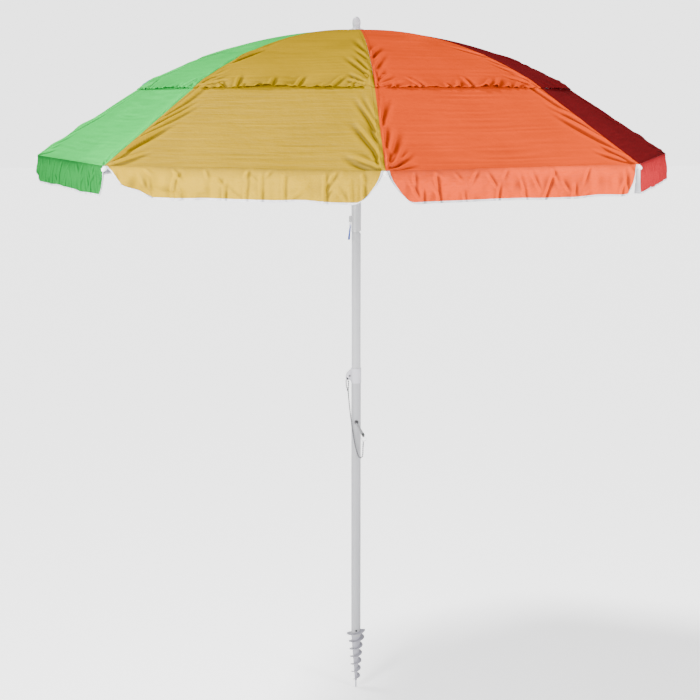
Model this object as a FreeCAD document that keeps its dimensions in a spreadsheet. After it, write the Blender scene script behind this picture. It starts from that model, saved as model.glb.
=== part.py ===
import FreeCAD, Part
import math
import os

os.makedirs("parts", exist_ok=True)
doc = FreeCAD.newDocument("beach_umbrella")
V = FreeCAD.Vector
UP = V(0, 0, 1)

# Row frame: the axis of the pole is Z, the tip of the sand auger is the origin, the front rib
# points to -Y, and the collar's lug and the tilt lever are on the -X side. All in mm.
SIZES = [
    ("canopy_radius", 840.0, "rib tip from the pole's axis"),
    ("rim_height", 1525.7, "hem of the canopy at a rib tip"),
    ("apex_height", 1845.6, "fabric at the crown"),
    ("roof_radius", 1174.0, "bow of the ribs inside the bend"),
    ("bend_rho", 550.0, "where a rib runs straight on to its tip"),
    ("cap_rho", 575.0, "edge of the wind-vent cap"),
    ("panel_rho", 521.0, "upper edge of the main panels, under the cap"),
    ("cap_lift", 1.8, "cap over the main panels"),
    ("fabric", 1.2, "thickness kept for the fabric"),
    ("valance_drop", 74.0, "hem to the valance's lower edge"),
    ("notch_half", 43.0, "half of a valance notch at its foot"),
    ("gore_gap", 0.4, "between two half gores"),
    ("rod_d", 4.5, "rib rod"),
    ("rod_below", 5.8, "rib rod's centre under the fabric's face"),
    ("rib_hinge_rho", 20.0, "rib hinge from the axis"),
    ("bracket_rho", 243.0, "stretcher pivot on the rib, from the axis"),
    ("bracket_below", 7.0, "stretcher pivot under the rod's centre"),
    ("stretcher_len", 252.0, "pivot to pivot"),
    ("stretcher_d", 4.0, "stretcher rod"),
    ("ear_rho", 24.0, "stretcher pivot on the runner, from the axis"),
    ("wire_d", 2.0, "ring wires of crown and runner"),
    ("upper_od", 26.4, "upper tube"),
    ("upper_id", 24.6, ""),
    ("mid_od", 25.0, "middle tube"),
    ("mid_id", 23.6, ""),
    ("lower_od", 26.6, "lower tube"),
    ("lower_id", 25.4, ""),
    ("tilt_height", 1317.5, "tilt pivot"),
    ("tilt_offset", 3.0, "tilt pivot from the axis, towards +X"),
    ("tilt_bevel", 21.5, "bevel of each tube end at the tilt joint, in degrees"),
    ("tilt_gap", 0.5, "between the two tubes"),
    ("upper_top", 1826.0, "top of the upper tube"),
    ("mid_bottom", 450.0, "foot of the middle tube"),
    ("lower_top", 939.0, "top of the lower tube"),
    ("lower_bottom", 160.0, "where the auger's cone meets the tube"),
    ("collar_od", 28.8, ""),
    ("collar_bottom", 902.0, ""),
    ("collar_top", 942.8, ""),
    ("pin_height", 792.6, "locking pin"),
    ("pin_d", 7.0, ""),
    ("hole_d", 7.4, "height holes"),
    ("hole_step", 60.0, "between height holes"),
    ("screw_height", 178.5, "auger fixing screw"),
    ("chain_d", 4.3, "ball chain"),
]
sheet = doc.addObject("Spreadsheet::Sheet", "sizes")
for row, (alias, value, note) in enumerate(SIZES, 1):
    sheet.set(f"A{row}", alias)
    sheet.set(f"B{row}", str(value))
    sheet.set(f"C{row}", note)
    sheet.setAlias(f"B{row}", alias)
doc.recompute()


def size(alias):
    return float(sheet.get(alias))


nodes = []


def node(obj, label):
    """Mark an object as one of the parts that are written out."""
    obj.Label = label
    nodes.append(obj)
    return obj


def feature(label, shape, turn=0.0):
    """A node whose shape comes from Part functions, turned about the pole's axis."""
    obj = doc.addObject("Part::Feature", label)
    obj.Shape = shape
    obj.Placement = FreeCAD.Placement(V(), FreeCAD.Rotation(UP, turn))
    return node(obj, label)


def rod(name, radius, height, at=(0, 0, 0), along=UP):
    """A parametric cylinder. radius and height are expressions on the sheet, or numbers."""
    obj = doc.addObject("Part::Cylinder", name)
    for key, value in (("Radius", radius), ("Height", height)):
        if isinstance(value, str):
            obj.setExpression(key, value)
        else:
            setattr(obj, key, value)
    obj.Placement = FreeCAD.Placement(V(), FreeCAD.Rotation(UP, V(*along)))
    for axis, value in zip("xyz", at):
        if isinstance(value, str):
            obj.setExpression(f".Placement.Base.{axis}", value)
        else:
            setattr(obj.Placement.Base, axis, value)
    if not any(isinstance(value, str) for value in at):
        obj.Placement.Base = V(*at)
    return obj


def block(name, lengths, at):
    obj = doc.addObject("Part::Box", name)
    for key, value in zip(("Length", "Width", "Height"), lengths):
        if isinstance(value, str):
            obj.setExpression(key, value)
        else:
            setattr(obj, key, value)
    for axis, value in zip("xyz", at):
        obj.setExpression(f".Placement.Base.{axis}", str(value))
    return obj


def join(name, shapes):
    obj = doc.addObject("Part::MultiFuse", name)
    obj.Shapes = shapes
    return obj


def cut(name, base, tools):
    obj = doc.addObject("Part::Cut", name)
    obj.Base = base
    obj.Tool = tools[0] if len(tools) == 1 else join(name + "_tools", tools)
    return obj


def polar(rho, z, side=0.0):
    """A point in the plane of a rib that points along +X, or beside that plane."""
    return V(rho, side, z)


def prism(points, depth):
    """A closed polygon pushed along a vector."""
    return Part.Face(Part.makePolygon(points + points[:1])).extrude(depth)


def cylinder(radius, start, end):
    axis = end - start
    return Part.makeCylinder(radius, axis.Length, start, axis)


def rounded_wire(points, radius=None):
    """Straight runs joined by tangent arcs, and the arcs' radii."""
    edges, radii, last = [], [], points[0]
    for before, corner, after in zip(points, points[1:], points[2:]):
        into = (before - corner).normalize()
        out = (after - corner).normalize()
        half_turn = (math.pi - into.getAngle(out)) / 2
        shorter = min((corner - before).Length, (after - corner).Length)
        bend = radius or 0.45 * shorter / math.tan(half_turn)
        reach = bend * math.tan(half_turn)
        start, end = corner + into * reach, corner + out * reach
        to_centre = (into + out).normalize()
        middle = corner + to_centre * (bend / math.cos(half_turn) - bend)
        edges.append(Part.LineSegment(last, start).toShape())
        edges.append(Part.Arc(start, middle, end).toShape())
        radii.append(bend)
        last = end
    edges.append(Part.LineSegment(last, points[-1]).toShape())
    return Part.Wire(edges), radii


def tube_along(points, diameter, radius=None):
    """A round bar along a rounded route."""
    wire, radii = rounded_wire(points, radius)
    circle = Part.Circle(points[0], points[1] - points[0], diameter / 2)
    bar = wire.makePipeShell([Part.Wire(circle.toShape())], True, False)
    return bar, wire.Length, radii


# ---- canopy and ribs, drawn for a rib along +X --------------------------------------------
R = size("canopy_radius")
APEX = size("apex_height")
ROOF = size("roof_radius")
BEND = size("bend_rho")
RIM = size("rim_height")
ROOF_CENTRE = APEX - ROOF
BEND_Z = ROOF_CENTRE + math.sqrt(ROOF**2 - BEND**2)
SLOPE = math.atan2(BEND_Z - RIM, R - BEND)
HALF_GORE = math.radians(22.5)
FABRIC = size("fabric")
RIBS = 8


def roof(rho):
    """Height of the fabric over a rib."""
    if rho <= BEND:
        return ROOF_CENTRE + math.sqrt(ROOF**2 - rho**2)
    return BEND_Z - (rho - BEND) * math.tan(SLOPE)


def rod_point(rho_on_roof):
    """Centre of the rib rod under a point of the straight outer part."""
    below = size("rod_below")
    return polar(
        rho_on_roof - below * math.sin(SLOPE),
        roof(rho_on_roof) - below * math.cos(SLOPE),
    )


def rod_arc_z(rho):
    return ROOF_CENTRE + math.sqrt((ROOF - size("rod_below")) ** 2 - rho**2)


HINGE = polar(size("rib_hinge_rho"), rod_arc_z(size("rib_hinge_rho")))
PIVOT = polar(
    size("bracket_rho"), rod_arc_z(size("bracket_rho")) - size("bracket_below")
)
EAR_DROP = math.sqrt(
    size("stretcher_len") ** 2 - (size("bracket_rho") - size("ear_rho")) ** 2
)
EAR = polar(size("ear_rho"), PIVOT.z - EAR_DROP)

# the folded rib hangs with its tip close to the middle tube
FOLD = math.radians(68.5)


def folded(point):
    """Where a point of a rib goes when the rib has folded down."""
    arm = point - HINGE
    return polar(
        HINGE.x + arm.x * math.cos(FOLD) + arm.z * math.sin(FOLD),
        HINGE.z - arm.x * math.sin(FOLD) + arm.z * math.cos(FOLD),
    )


PIVOT_FOLDED = folded(PIVOT)
EAR_FOLDED_DROP = math.sqrt(
    size("stretcher_len") ** 2 - (PIVOT_FOLDED.x - EAR.x) ** 2
)
RUNNER_TRAVEL = EAR.z - (PIVOT_FOLDED.z - EAR_FOLDED_DROP)
STRETCHER_OPEN = math.atan2(EAR_DROP, PIVOT.x - EAR.x)
STRETCHER_FOLDED = math.atan2(EAR_FOLDED_DROP, PIVOT_FOLDED.x - EAR.x)
print("hinge", HINGE, "pivot", PIVOT, "ear", EAR)
print("runner travel", RUNNER_TRAVEL, "rib ratio rad/m", FOLD / RUNNER_TRAVEL * 1000)
print(
    "stretcher ratio rad/m",
    (STRETCHER_FOLDED - STRETCHER_OPEN) / RUNNER_TRAVEL * 1000,
    "degrees",
    math.degrees(STRETCHER_FOLDED - STRETCHER_OPEN),
)


def rib_rod():
    """Bowed rod with a flat eye at the crown and a ball at its tip."""
    radius = size("rod_d") / 2
    start = polar(HINGE.x + 5, rod_arc_z(HINGE.x + 5))
    middle = polar(BEND / 2, rod_arc_z(BEND / 2))
    bend = rod_point(BEND)
    bow = Part.Arc(start, middle, bend).toShape()
    circle = Part.Circle(start, bow.tangentAt(bow.FirstParameter), radius).toShape()
    arc = Part.Wire([bow]).makePipeShell([Part.Wire(circle)], True, False)
    straight = cylinder(radius, bend, rod_point(R - 2))
    ball = Part.makeSphere(radius, bend)
    eye = Part.makeCylinder(3.5, 3, HINGE - V(0, 1.5, 0), V(0, 1, 0))
    neck = prism(
        [
            HINGE + V(0, -1.5, -2.2),
            HINGE + V(0, -1.5, 2.2),
            start + V(3, -1.5, 1.9),
            start + V(3, -1.5, -1.9),
        ],
        V(0, 3, 0),
    )
    bore = Part.makeCylinder(size("wire_d") / 2 + 0.3, 5, HINGE - V(0, 2.5, 0), V(0, 1, 0))
    return arc.fuse([straight, ball, eye, neck]).removeSplitter().cut(bore)


def rib_tip():
    """Plastic cap pushed on the rod's end, just outside the hem."""
    end = rod_point(R - 2)
    along = (rod_point(R) - rod_point(R - 10)).normalize()
    sleeve = cylinder(3.6, end - along * 14, end + along * 3)
    nose = Part.makeSphere(4.6, end + along * 5)
    cap = sleeve.fuse(nose).removeSplitter()
    return cap.cut(cylinder(size("rod_d") / 2, end - along * 20, end))


def rib_bracket():
    """Saddle on the rod with two cheeks round the stretcher's eye, and its rivet."""
    top = PIVOT.z + size("bracket_below") + 3.4
    body = Part.makeBox(11, 8, top - PIVOT.z, V(PIVOT.x - 5.5, -4, PIVOT.z))
    foot = Part.makeCylinder(5.5, 8, PIVOT - V(0, 4, 0), V(0, 1, 0))
    slot = Part.makeBox(13, 4, 12.5, V(PIVOT.x - 6.5, -2, PIVOT.z - 8.5))
    tilt = (PIVOT.x) / (ROOF - size("rod_below"))
    centre = polar(PIVOT.x, rod_arc_z(PIVOT.x))
    way = V(math.cos(tilt), 0, -math.sin(tilt))
    bore = cylinder(size("rod_d") / 2 + 0.05, centre - way * 12, centre + way * 12)
    hole = Part.makeCylinder(1.5, 12, PIVOT - V(0, 6, 0), V(0, 1, 0))
    saddle = body.fuse(foot).removeSplitter().cut([slot, bore, hole])
    rivet = Part.makeCylinder(1.5, 9.6, PIVOT - V(0, 4.8, 0), V(0, 1, 0))
    return [saddle, rivet]


def stretcher():
    """Rod from the runner's ear to the rib's bracket, with a flat eye at each end."""
    way = (PIVOT - EAR).normalize()
    bar = cylinder(size("stretcher_d") / 2, EAR + way * 9, PIVOT - way * 9)
    side = V(0, 1, 0)
    eyes = [Part.makeCylinder(3.4, 3, p - side * 1.5, side) for p in (EAR, PIVOT)]
    across = way.cross(side) * 1.9
    blades = []
    for point, inward in ((EAR, way), (PIVOT, way * -1)):
        corners = [
            point - across - side * 1.5,
            point + across - side * 1.5,
            point + across - side * 1.5 + inward * 12,
            point - across - side * 1.5 + inward * 12,
        ]
        blades.append(prism(corners, side * 3))
    body = bar.fuse(eyes + blades).removeSplitter()
    holes = [
        Part.makeCylinder(size("wire_d") / 2 + 0.3, 5, EAR - side * 2.5, side),
        Part.makeCylinder(1.65, 5, PIVOT - side * 2.5, side),
    ]
    return body.cut(holes)


def roof_band(rho_in, rho_out, lift):
    """A slab under the roof's profile, across one gore. u runs along the gore's middle."""
    squeeze = math.cos(HALF_GORE)
    half_width = rho_out * math.sin(HALF_GORE) + 20

    def at(rho, drop):
        return V(rho * squeeze, -half_width, roof(rho) + lift - drop)

    stops = [rho_in] + ([BEND] if rho_in < BEND < rho_out else []) + [rho_out]
    edges = []
    for drop in (0.0, FABRIC):
        for first, second in zip(stops, stops[1:]):
            if second <= BEND and second - first > 100:
                middle = at((first + second) / 2, drop)
                edges.append(Part.Arc(at(first, drop), middle, at(second, drop)).toShape())
            else:
                edges.append(Part.LineSegment(at(first, drop), at(second, drop)).toShape())
    for rho in (rho_in, rho_out):
        edges.append(Part.LineSegment(at(rho, 0.0), at(rho, FABRIC)).toShape())
    band = Part.Face(Part.Wire(Part.__sortEdges__(edges)))
    slab = band.extrude(V(0, 2 * half_width, 0))
    slab.rotate(V(), UP, 22.5)
    return slab


def half_gore():
    """Half of one gore, on the left side of its rib: cap, main panel and valance."""
    away = V(math.cos(HALF_GORE), math.sin(HALF_GORE), 0)
    across = V(-math.sin(HALF_GORE), math.cos(HALF_GORE), 0)
    gap = across * (size("gore_gap") / 2)
    low = 1300

    def wedge(rho_in, rho_out):
        plan = [
            V(rho_in, 0, low),
            V(rho_out, 0, low),
            away * (rho_out * math.cos(HALF_GORE)) + UP * low - gap,
            away * (rho_in * math.cos(HALF_GORE)) + UP * low - gap,
        ]
        return prism(plan, UP * 700)

    cap = roof_band(9.0, size("cap_rho"), size("cap_lift")).common(
        wedge(9.0, size("cap_rho"))
    )
    main = roof_band(size("panel_rho"), R, 0.0).common(wedge(size("panel_rho"), R))
    foot = RIM - size("valance_drop")
    hem_middle = away * (R * math.cos(HALF_GORE))
    toward_rib = across * -1
    half_hem = R * math.sin(HALF_GORE)
    notch = size("notch_half")
    face = [
        hem_middle + UP * RIM - gap,
        hem_middle + toward_rib * (half_hem - 0.1) + UP * RIM,
        hem_middle + toward_rib * (half_hem - 0.1) + UP * (RIM - FABRIC),
        hem_middle + toward_rib * (half_hem - notch) + UP * foot,
        hem_middle + UP * foot - gap,
    ]
    valance = prism(face, away * -FABRIC)
    skirt = main.fuse(valance).removeSplitter()
    return cap, skirt


def tip_clearance():
    """Room left in the hem's corner for the rib's tip cap."""
    end = rod_point(R - 2)
    along = (rod_point(R) - rod_point(R - 10)).normalize()
    sleeve = cylinder(3.9, end - along * 14.3, end + along * 3.3)
    return sleeve.fuse(Part.makeSphere(4.9, end + along * 5))


ROD = rib_rod()
RIB = Part.makeCompound([ROD, rib_tip()] + rib_bracket())
STRETCHER = stretcher()
CAP, SKIRT = half_gore()
SKIRT = SKIRT.cut(tip_clearance())
LEFT = Part.makeCompound([CAP, SKIRT])
MIRRORED = [s.mirror(V(), V(0, 1, 0)) for s in (CAP, SKIRT)]
RIGHT = Part.makeCompound(MIRRORED)
for k in range(1, RIBS + 1):
    turn = -90 + 45 * (k - 1)
    feature(f"rib_{k}", RIB.copy(), turn)
    feature(f"stretcher_{k}", STRETCHER.copy(), turn)
    feature(f"panel_{k}_left", LEFT.copy(), turn)
    feature(f"panel_{k}_right", RIGHT.copy(), turn)

# ---- crown and runner ---------------------------------------------------------------------
ARMS = [-90 + 45 * k for k in range(RIBS)]


def slots(rho_in, rho_out, z_low, z_high, width):
    out = []
    for turn in ARMS:
        slot = Part.makeBox(rho_out - rho_in, width, z_high - z_low, V(rho_in, -width / 2, z_low))
        slot.rotate(V(), UP, turn)
        out.append(slot)
    return out


def ring_wire(rho, z, diameter):
    return Part.makeTorus(rho, diameter / 2, V(0, 0, z))


WIRE = size("wire_d")
hub_flange = Part.makeCylinder(28, 9, V(0, 0, HINGE.z - 5))
hub_plug = Part.makeCylinder(size("upper_id") / 2, 40, V(0, 0, HINGE.z - 45))
hub_neck = Part.makeCylinder(
    size("upper_od") / 2 + 1.6, HINGE.z - 5 - size("upper_top"), V(0, 0, size("upper_top"))
)
hub = hub_flange.fuse([hub_plug, hub_neck]).removeSplitter()
hub = hub.cut(
    slots(15.4, 30, HINGE.z - 6, HINGE.z + 6, 4.6)
    + [
        Part.makeTorus(HINGE.x, WIRE / 2 + 0.05, V(0, 0, HINGE.z)),
        Part.makeCylinder(4, 60, V(0, 0, HINGE.z - 30)),
    ]
)
feature("crown_hub", hub)
feature("crown_ring", ring_wire(HINGE.x, HINGE.z, WIRE))

SLEEVE_LOW = EAR.z - 11
SLEEVE_TOP = EAR.z + 29
sleeve = Part.makeCylinder(16.2, SLEEVE_TOP - SLEEVE_LOW, V(0, 0, SLEEVE_LOW))
flange = Part.makeCylinder(30, 10, V(0, 0, EAR.z - 5))
grip = Part.makeCylinder(18.5, 5, V(0, 0, SLEEVE_LOW))
runner = sleeve.fuse([flange, grip]).removeSplitter()
runner = runner.cut(
    slots(19.2, 32, EAR.z - 7, EAR.z + 7, 4.0)
    + [
        Part.makeTorus(EAR.x, WIRE / 2 + 0.05, V(0, 0, EAR.z)),
        Part.makeCylinder(size("upper_od") / 2 + 0.3, 60, V(0, 0, SLEEVE_LOW - 5)),
    ]
)
feature("runner", runner)
feature("runner_ring", ring_wire(EAR.x, EAR.z, WIRE))

# ---- finial -------------------------------------------------------------------------------
SEAT = APEX + size("cap_lift") + 0.1
finial_outline = [
    V(0, 0, SEAT),
    V(19.5, 0, SEAT - 0.1),
    V(19.3, 0, SEAT + 1.6),
    V(11.5, 0, SEAT + 3.2),
    V(9.6, 0, SEAT + 8.0),
]
bulb_outline = [
    finial_outline[-1],
    V(10.7, 0, 1861.0),
    V(11.0, 0, 1867.0),
    V(10.0, 0, 1872.5),
    V(7.6, 0, 1877.2),
    V(4.2, 0, 1880.2),
    V(0, 0, 1881.2),
]
bulb = Part.BSplineCurve()
bulb.interpolate(bulb_outline)
outline = [
    Part.LineSegment(a, b).toShape() for a, b in zip(finial_outline, finial_outline[1:])
]
outline.append(bulb.toShape())
outline.append(Part.LineSegment(V(0, 0, 1881.2), V(0, 0, SEAT)).toShape())
finial = Part.Face(Part.Wire(outline)).revolve(V(), UP, 360)
stud = Part.makeCylinder(3.9, SEAT - HINGE.z + 22, V(0, 0, HINGE.z - 20))
finial_body = finial.fuse(stud).removeSplitter()
feature("finial", finial_body)

# ---- upper pole ---------------------------------------------------------------------------
TILT = V(size("tilt_offset"), 0, size("tilt_height"))


def bevel_wedge(sign):
    """What the tilt joint's bevel takes from the tube above (1) or below (-1)."""
    reach = 30
    rise = sign * reach * math.tan(math.radians(size("tilt_bevel")))
    start = TILT + V(0, -20, 0)
    points = [start, start + V(reach, 0, rise), start + V(reach, 0, -sign)]
    return prism(points, V(0, 40, 0))


upper_gap = "sizes.tilt_height + sizes.tilt_gap / 2"
upper_outer = rod(
    "upper_outer",
    "sizes.upper_od / 2",
    "sizes.upper_top - sizes.tilt_height - sizes.tilt_gap / 2",
    (0, 0, upper_gap),
)
upper_inner = rod("upper_inner", "sizes.upper_id / 2", 700.0, (0, 0, "sizes.tilt_height - 50"))
bevel_up = doc.addObject("Part::Feature", "bevel_up")
bevel_up.Shape = bevel_wedge(1)
spring_slot = block("spring_slot", (6.0, 12.0, 36.0), (-3, 6, SLEEVE_LOW - 38))
upper_tube = cut("upper_tube_cut", upper_outer, [upper_inner, bevel_up, spring_slot])
node(upper_tube, "upper_tube")

spring_low = SLEEVE_LOW - 36
leaf = [
    V(-2.4, 10.4, spring_low),
    V(-2.4, 15.6, spring_low + 33),
    V(-2.4, 16.4, spring_low + 33),
    V(-2.4, 16.4, spring_low + 32),
    V(-2.4, 11.6, spring_low),
]
feature("catch_spring", prism(leaf, V(4.8, 0, 0)))

clevis_plug = Part.makeCylinder(size("upper_id") / 2, 34, V(0, 0, TILT.z + 7))
clevis_plug = clevis_plug.cut(bevel_wedge(1))
cheeks = []
for side in (4.4, -8.4):
    cheek = Part.makeCylinder(5.6, 4, TILT + V(0, side, 0), V(0, 1, 0))
    web = Part.makeBox(10, 4, 9, TILT + V(-5, side, 0))
    cheeks += [cheek, web]
clevis = clevis_plug.fuse(cheeks).removeSplitter()
clevis = clevis.cut(
    [
        Part.makeCylinder(6.6, 8.6, TILT - V(0, 4.3, 0), V(0, 1, 0)),
        Part.makeCylinder(2.2, 30, TILT - V(0, 15, 0), V(0, 1, 0)),
    ]
)
feature("tilt_clevis", clevis)
feature("tilt_pin", Part.makeCylinder(2.15, 16.6, TILT - V(0, 8.3, 0), V(0, 1, 0)))

lever_pivot = V(-16.4, 0, 1352)
tube_r = size("upper_od") / 2
saddle = Part.makeBox(7, 9, 16, V(-19.6, -4.5, 1345))
saddle = saddle.cut(
    [
        Part.makeCylinder(tube_r, 40, V(0, 0, 1330)),
        Part.makeBox(8, 5.4, 20, V(-21, -2.7, 1343)),
    ]
)
cheek_pin = Part.makeCylinder(1.0, 9, lever_pivot - V(0, 4.5, 0), V(0, 1, 0))
saddle = saddle.fuse(Part.makeBox(1.1, 9, 16, V(-14.2, -4.5, 1345)).cut(
    Part.makeCylinder(tube_r, 40, V(0, 0, 1330))
)).removeSplitter()
feature("lever_bracket", saddle.fuse(cheek_pin).removeSplitter())

# ---- tilt lever ---------------------------------------------------------------------------
lever_eye = Part.makeCylinder(2.2, 4.6, lever_pivot - V(0, 2.3, 0), V(0, 1, 0))
lever_strip = prism(
    [
        V(-17.9, -2.3, 1352),
        V(-16.0, -2.3, 1352),
        V(-15.4, -2.3, 1330),
        V(-18.8, -2.3, 1300),
        V(-20.6, -2.3, 1300),
        V(-17.2, -2.3, 1331),
    ],
    V(0, 4.6, 0),
)
lever = lever_eye.fuse(lever_strip).removeSplitter()
lever = lever.cut(Part.makeCylinder(1.15, 8, lever_pivot - V(0, 4, 0), V(0, 1, 0)))
grip_body = prism(
    [
        V(-22.6, -3.2, 1297),
        V(-17.2, -3.2, 1297),
        V(-16.9, -3.2, 1303),
        V(-14.9, -3.2, 1330),
        V(-15.1, -3.2, 1338),
        V(-17.9, -3.2, 1338),
        V(-18.2, -3.2, 1330),
        V(-22.3, -3.2, 1303),
    ],
    V(0, 6.4, 0),
)
lever = lever.cut(grip_body)
feature("tilt_lever", lever)
feature("lever_grip", grip_body)

# ---- middle pole --------------------------------------------------------------------------
mid_outer = rod(
    "mid_outer",
    "sizes.mid_od / 2",
    "sizes.tilt_height - sizes.tilt_gap / 2 - sizes.mid_bottom",
    (0, 0, "sizes.mid_bottom"),
)
mid_inner = rod("mid_inner", "sizes.mid_id / 2", 900.0, (0, 0, "sizes.mid_bottom - 5"))
bevel_down = doc.addObject("Part::Feature", "bevel_down")
bevel_down.Shape = bevel_wedge(-1)
height_holes = [
    rod(
        f"height_hole_{n}",
        "sizes.hole_d / 2",
        40.0,
        (0, 20, f"sizes.pin_height - {n} * sizes.hole_step"),
        (0, -1, 0),
    )
    for n in range(6)
]
mid_tube = cut("mid_tube_cut", mid_outer, [mid_inner, bevel_down] + height_holes)
node(mid_tube, "mid_tube")

MID_IN = size("mid_id") / 2
foot_plug = Part.makeCylinder(MID_IN, 20, V(0, 0, size("mid_bottom")))
foot_rim = Part.makeCylinder(size("mid_od") / 2, 6, V(0, 0, size("mid_bottom") - 6))
foot_bore = Part.makeCylinder(8, 60, V(0, 0, size("mid_bottom") - 20))
feature("mid_tube_foot", foot_plug.fuse(foot_rim).removeSplitter().cut(foot_bore))

tongue_plug = Part.makeCylinder(MID_IN, 30, V(0, 0, TILT.z - 37)).cut(bevel_wedge(-1))
tongue_round = Part.makeCylinder(5.6, 8, TILT - V(0, 4, 0), V(0, 1, 0))
tongue_web = Part.makeBox(10.4, 8, 9, TILT + V(-5.2, -4, -9))
tongue = tongue_plug.fuse([tongue_round, tongue_web]).removeSplitter()
side_room = [
    Part.makeCylinder(6.4, 9, TILT + V(0, y, 0), V(0, 1, 0)) for y in (4.05, -13.05)
]
tongue = tongue.cut(side_room + [Part.makeCylinder(2.25, 30, TILT - V(0, 15, 0), V(0, 1, 0))])
feature("tilt_tongue", tongue)

# ---- lower pole ---------------------------------------------------------------------------
lower_outer = rod(
    "lower_outer",
    "sizes.lower_od / 2",
    "sizes.lower_top - sizes.lower_bottom",
    (0, 0, "sizes.lower_bottom"),
)
lower_inner = rod("lower_inner", "sizes.lower_id / 2", 900.0, (0, 0, "sizes.lower_bottom - 5"))
pin_hole = rod("pin_hole", "sizes.hole_d / 2", 40.0, (0, 20, "sizes.pin_height"), (0, -1, 0))
screw_hole = rod("screw_hole", 1.5, 20.0, (0, 0, "sizes.screw_height"), (0, -1, 0))
lower_tube = cut("lower_tube_cut", lower_outer, [lower_inner, pin_hole, screw_hole])
node(lower_tube, "lower_tube")

LOWER_OUT = size("lower_od") / 2
COLLAR_LOW = size("collar_bottom")
COLLAR_TOP = size("collar_top")
collar_round = Part.makeCylinder(size("collar_od") / 2, COLLAR_TOP - COLLAR_LOW, V(0, 0, COLLAR_LOW))
lug = prism(
    [
        V(-12, -2.5, 941),
        V(-19, -2.5, 937.5),
        V(-26.5, -2.5, 930),
        V(-29.6, -2.5, 922),
        V(-28.4, -2.5, 911.5),
        V(-20.5, -2.5, 911.5),
        V(-12, -2.5, 904.5),
    ],
    V(0, 5, 0),
)
lug = lug.makeFillet(1.0, [e for e in lug.Edges if abs(e.tangentAt(e.FirstParameter).y) < 0.5][:4])
collar = collar_round.fuse(lug).removeSplitter()
CHAIN_HOLE = V(-24.6, 0, 916)
RIVET = V(-18.0, 0, 921.7)
collar = collar.cut(
    [
        Part.makeCylinder(LOWER_OUT, size("lower_top") - COLLAR_LOW, V(0, 0, COLLAR_LOW)),
        Part.makeCylinder(size("mid_od") / 2 + 0.15, 60, V(0, 0, COLLAR_LOW)),
        Part.makeCylinder(2.9, 10, CHAIN_HOLE - V(0, 5, 0), V(0, 1, 0)),
        Part.makeCylinder(1.5, 10, RIVET - V(0, 5, 0), V(0, 1, 0)),
    ]
)
feature("collar", collar)
rivet_heads = [
    Part.makeCylinder(2.6, 1.0, RIVET + V(0, 2.5, 0), V(0, 1, 0)),
    Part.makeCylinder(2.6, 1.0, RIVET - V(0, 2.5, 0), V(0, -1, 0)),
]
shank = Part.makeCylinder(1.5, 5, RIVET - V(0, 2.5, 0), V(0, 1, 0))
feature("collar_rivet", shank.fuse(rivet_heads).removeSplitter())

grommet = Part.makeCylinder(5.5, 2.4, V(0, -LOWER_OUT + 0.9, size("pin_height")), V(0, -1, 0))
grommet = grommet.cut(
    [
        Part.makeCylinder(LOWER_OUT, 30, V(0, 0, size("pin_height") - 15)),
        Part.makeCylinder(size("hole_d") / 2, 30, V(0, 0, size("pin_height")), V(0, -1, 0)),
    ]
)
feature("pin_grommet", grommet)

# ---- sand auger ---------------------------------------------------------------------------
CONE_LOW = 21.8
CONE_TOP = size("lower_bottom")
cone = Part.makeCone(3.0, LOWER_OUT, CONE_TOP - CONE_LOW, V(0, 0, CONE_LOW))
spigot = Part.makeCylinder(size("lower_id") / 2, 45, V(0, 0, CONE_TOP))
spike = Part.makeCylinder(2.0, CONE_LOW - 1.4, V(0, 0, 1.4)).fuse(
    Part.makeCone(0.6, 2.0, 1.4, V(0, 0, 0))
)
core = cone.fuse([spigot, spike]).removeSplitter()
core = core.cut(
    [
        Part.makeCylinder(9, 40, V(0, 0, CONE_TOP + 10)),
        Part.makeCylinder(1.25, 20, V(0, 0, size("screw_height")), V(0, -1, 0)),
    ]
)
feature("auger_core", core)

PITCH = 23.5
BLADE_START = 25.0
BLADE_TURNS = 6.5
# (height, outer radius) of the blade
BLADE_EDGE = [
    (25, 9.5),
    (34, 12.2),
    (60, 14.5),
    (95, 17.2),
    (125, 19.2),
    (148, 21.5),
    (160, 26.5),
    (185, 26.5),
]


def blade_radius(z):
    for (z0, r0), (z1, r1) in zip(BLADE_EDGE, BLADE_EDGE[1:]):
        if z <= z1:
            return r0 + (r1 - r0) * max(z - z0, 0) / (z1 - z0)
    return BLADE_EDGE[-1][1]


def core_radius(z):
    if z >= CONE_TOP:
        return LOWER_OUT
    return 3.0 + (LOWER_OUT - 3.0) * (z - CONE_LOW) / (CONE_TOP - CONE_LOW)


def blade_edge(outer, lift):
    """One long edge of the blade, as a curve through a point every 15 degrees."""
    points = []
    for step in range(int(BLADE_TURNS * 24) + 1):
        turn = math.pi + step * math.pi / 12
        z = BLADE_START + PITCH * step / 24
        reach = blade_radius(z) if outer else core_radius(z + lift) + 0.15
        points.append(V(reach * math.cos(turn), reach * math.sin(turn), z + lift))
    curve = Part.BSplineCurve()
    curve.interpolate(Points=points, Parameters=[float(i) for i in range(len(points))])
    return curve.toShape(), points[0], points[-1]


corners = [blade_edge(False, -1.1), blade_edge(True, -0.5), blade_edge(True, 0.5), blade_edge(False, 1.1)]
faces = [
    Part.makeRuledSurface(corners[i][0], corners[(i + 1) % 4][0]) for i in range(4)
]
for end in (1, 2):
    ring = [corner[end] for corner in corners]
    outline = Part.makePolygon(ring + ring[:1])
    faces.append(Part.makeFilledFace(outline.Edges))
shell = Part.Shell(faces)
shell.sewShape()
blade = Part.Solid(shell)
if blade.Volume < 0:
    blade.reverse()
feature("auger_blade", blade)

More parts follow.
